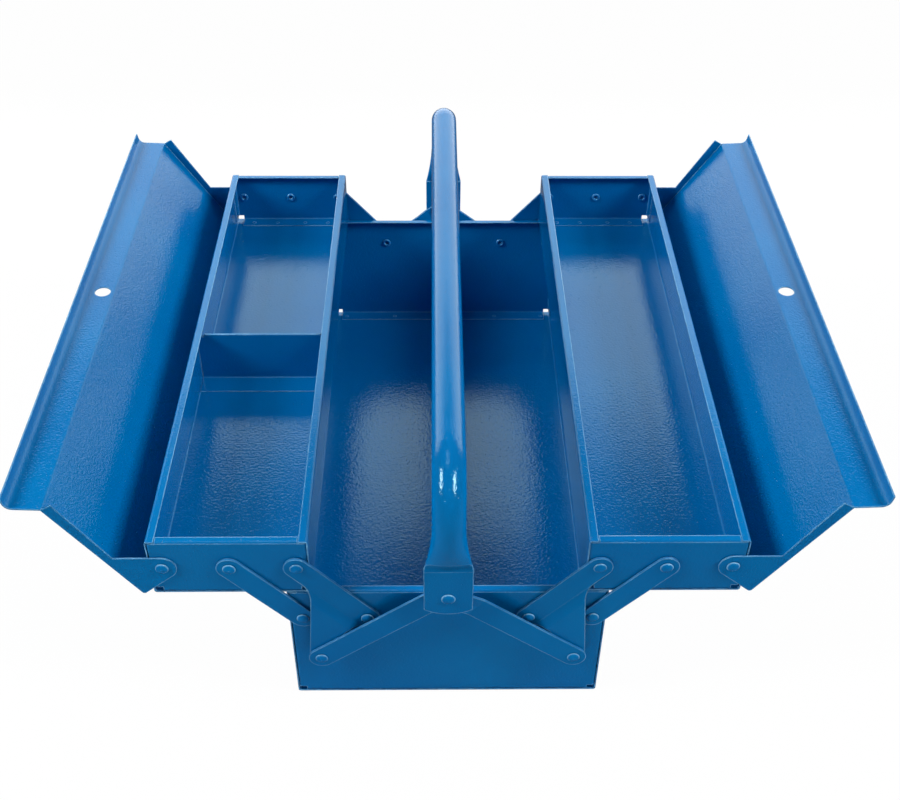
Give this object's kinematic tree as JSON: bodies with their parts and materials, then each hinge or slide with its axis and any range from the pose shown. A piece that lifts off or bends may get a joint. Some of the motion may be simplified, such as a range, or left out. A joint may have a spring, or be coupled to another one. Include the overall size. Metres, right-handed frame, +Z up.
{
  "type": "cantilever tool box",
  "caption": "Sheet-metal tool box whose two trays swing out over a deep base on levers and links, with a folded lid on each tray and a tubular carrying handle.",
  "frame": {"origin": "middle of the underside of the base", "axes": "+X to the right across the box, +Y along its length away from the end that faces the viewer, +Z up"},
  "size_m": [0.5142, 0.4632, 0.215],
  "materials": {
    "base": "glossy blue powder coat",
    "trays": "glossy blue powder coat",
    "lids": "glossy blue powder coat",
    "linkage": "glossy blue powder coat",
    "handle": "glossy blue powder coat",
    "rivets": "glossy blue powder coat"
  },
  "bodies": {
    "base": {"base_trough": "base", "base_end_front": "base", "base_end_rear": "base", "base_pivot_rivets": "rivets"},
    "handle": {"handle": "handle", "handle_rivets": "rivets"},
    "right_levers": {"right_lever_front": "linkage", "right_lever_rear": "linkage", "right_strap_rivets": "rivets"},
    "right_links": {"right_link_front": "linkage", "right_link_rear": "linkage"},
    "right_straps": {"right_strap_front": "linkage", "right_strap_rear": "linkage"},
    "right_tray": {"right_tray_trough": "trays", "right_tray_end_front": "trays", "right_tray_end_rear": "trays", "right_tray_rivets": "rivets", "right_lid_rivets": "rivets"},
    "right_lid": {"right_lid": "lids"},
    "left_levers": {"left_lever_front": "linkage", "left_lever_rear": "linkage", "left_strap_rivets": "rivets"},
    "left_links": {"left_link_front": "linkage", "left_link_rear": "linkage"},
    "left_straps": {"left_strap_front": "linkage", "left_strap_rear": "linkage"},
    "left_tray": {"left_tray_trough": "trays", "left_tray_end_front": "trays", "left_tray_end_rear": "trays", "left_tray_rivets": "rivets", "left_lid_rivets": "rivets", "left_tray_divider": "trays"},
    "left_lid": {"left_lid": "lids"}
  },
  "joints": [
    {"name": "right_lever_swing", "type": "hinge", "parent": "base", "child": "right_levers", "pos_m": [0.05075, 0, 0.079], "axis": [0, -1, 0], "range_deg": [0, 82.54]},
    {"name": "right_link_swing", "type": "hinge", "parent": "base", "child": "right_links", "pos_m": [0.09125, 0, 0.079], "axis": [0, -1, 0], "range_deg": [-0.5, 83.04]},
    {"name": "right_tray_level", "type": "hinge", "parent": "right_levers", "child": "right_tray", "pos_m": [0.092, 0, 0.126], "axis": [0, -1, 0], "range_deg": [-83.04, 0.5]},
    {"name": "right_strap_turn", "type": "hinge", "parent": "right_levers", "child": "right_straps", "pos_m": [0.0812, 0, 0.0453], "axis": [0, -1, 0], "range_deg": [-76.3, 0.5]},
    {"name": "right_lid_turn", "type": "hinge", "parent": "right_tray", "child": "right_lid", "pos_m": [0.173, 0, 0.126], "axis": [0, -1, 0], "range_deg": [0, 115]},
    {"name": "left_lever_swing", "type": "hinge", "parent": "base", "child": "left_levers", "pos_m": [-0.05075, 0, 0.079], "axis": [0, 1, 0], "range_deg": [0, 82.54]},
    {"name": "left_link_swing", "type": "hinge", "parent": "base", "child": "left_links", "pos_m": [-0.09125, 0, 0.079], "axis": [0, 1, 0], "range_deg": [-0.5, 83.04]},
    {"name": "left_tray_level", "type": "hinge", "parent": "left_levers", "child": "left_tray", "pos_m": [-0.092, 0, 0.126], "axis": [0, 1, 0], "range_deg": [-83.04, 0.5]},
    {"name": "left_strap_turn", "type": "hinge", "parent": "left_levers", "child": "left_straps", "pos_m": [-0.0812, 0, 0.0453], "axis": [0, 1, 0], "range_deg": [-76.3, 0.5]},
    {"name": "left_lid_turn", "type": "hinge", "parent": "left_tray", "child": "left_lid", "pos_m": [-0.173, 0, 0.126], "axis": [0, 1, 0], "range_deg": [0, 115]},
    {"name": "handle_lift", "type": "slide", "parent": "base", "child": "handle", "axis": [0, 0, 1], "range_m": [-0.0005, 0.05005]}
  ],
  "couplings": [
    {"joint": "right_link_swing", "follows": "right_lever_swing", "ratio": 1},
    {"joint": "right_tray_level", "follows": "right_lever_swing", "ratio": -1},
    {"joint": "right_strap_turn", "follows": "right_lever_swing", "ratio": -0.91833},
    {"joint": "left_lever_swing", "follows": "right_lever_swing", "ratio": 1},
    {"joint": "left_link_swing", "follows": "right_lever_swing", "ratio": 1},
    {"joint": "left_tray_level", "follows": "right_lever_swing", "ratio": -1},
    {"joint": "left_strap_turn", "follows": "right_lever_swing", "ratio": -0.91833},
    {"joint": "handle_lift", "follows": "right_lever_swing", "m_per_rad": 0.034394}
  ]
}
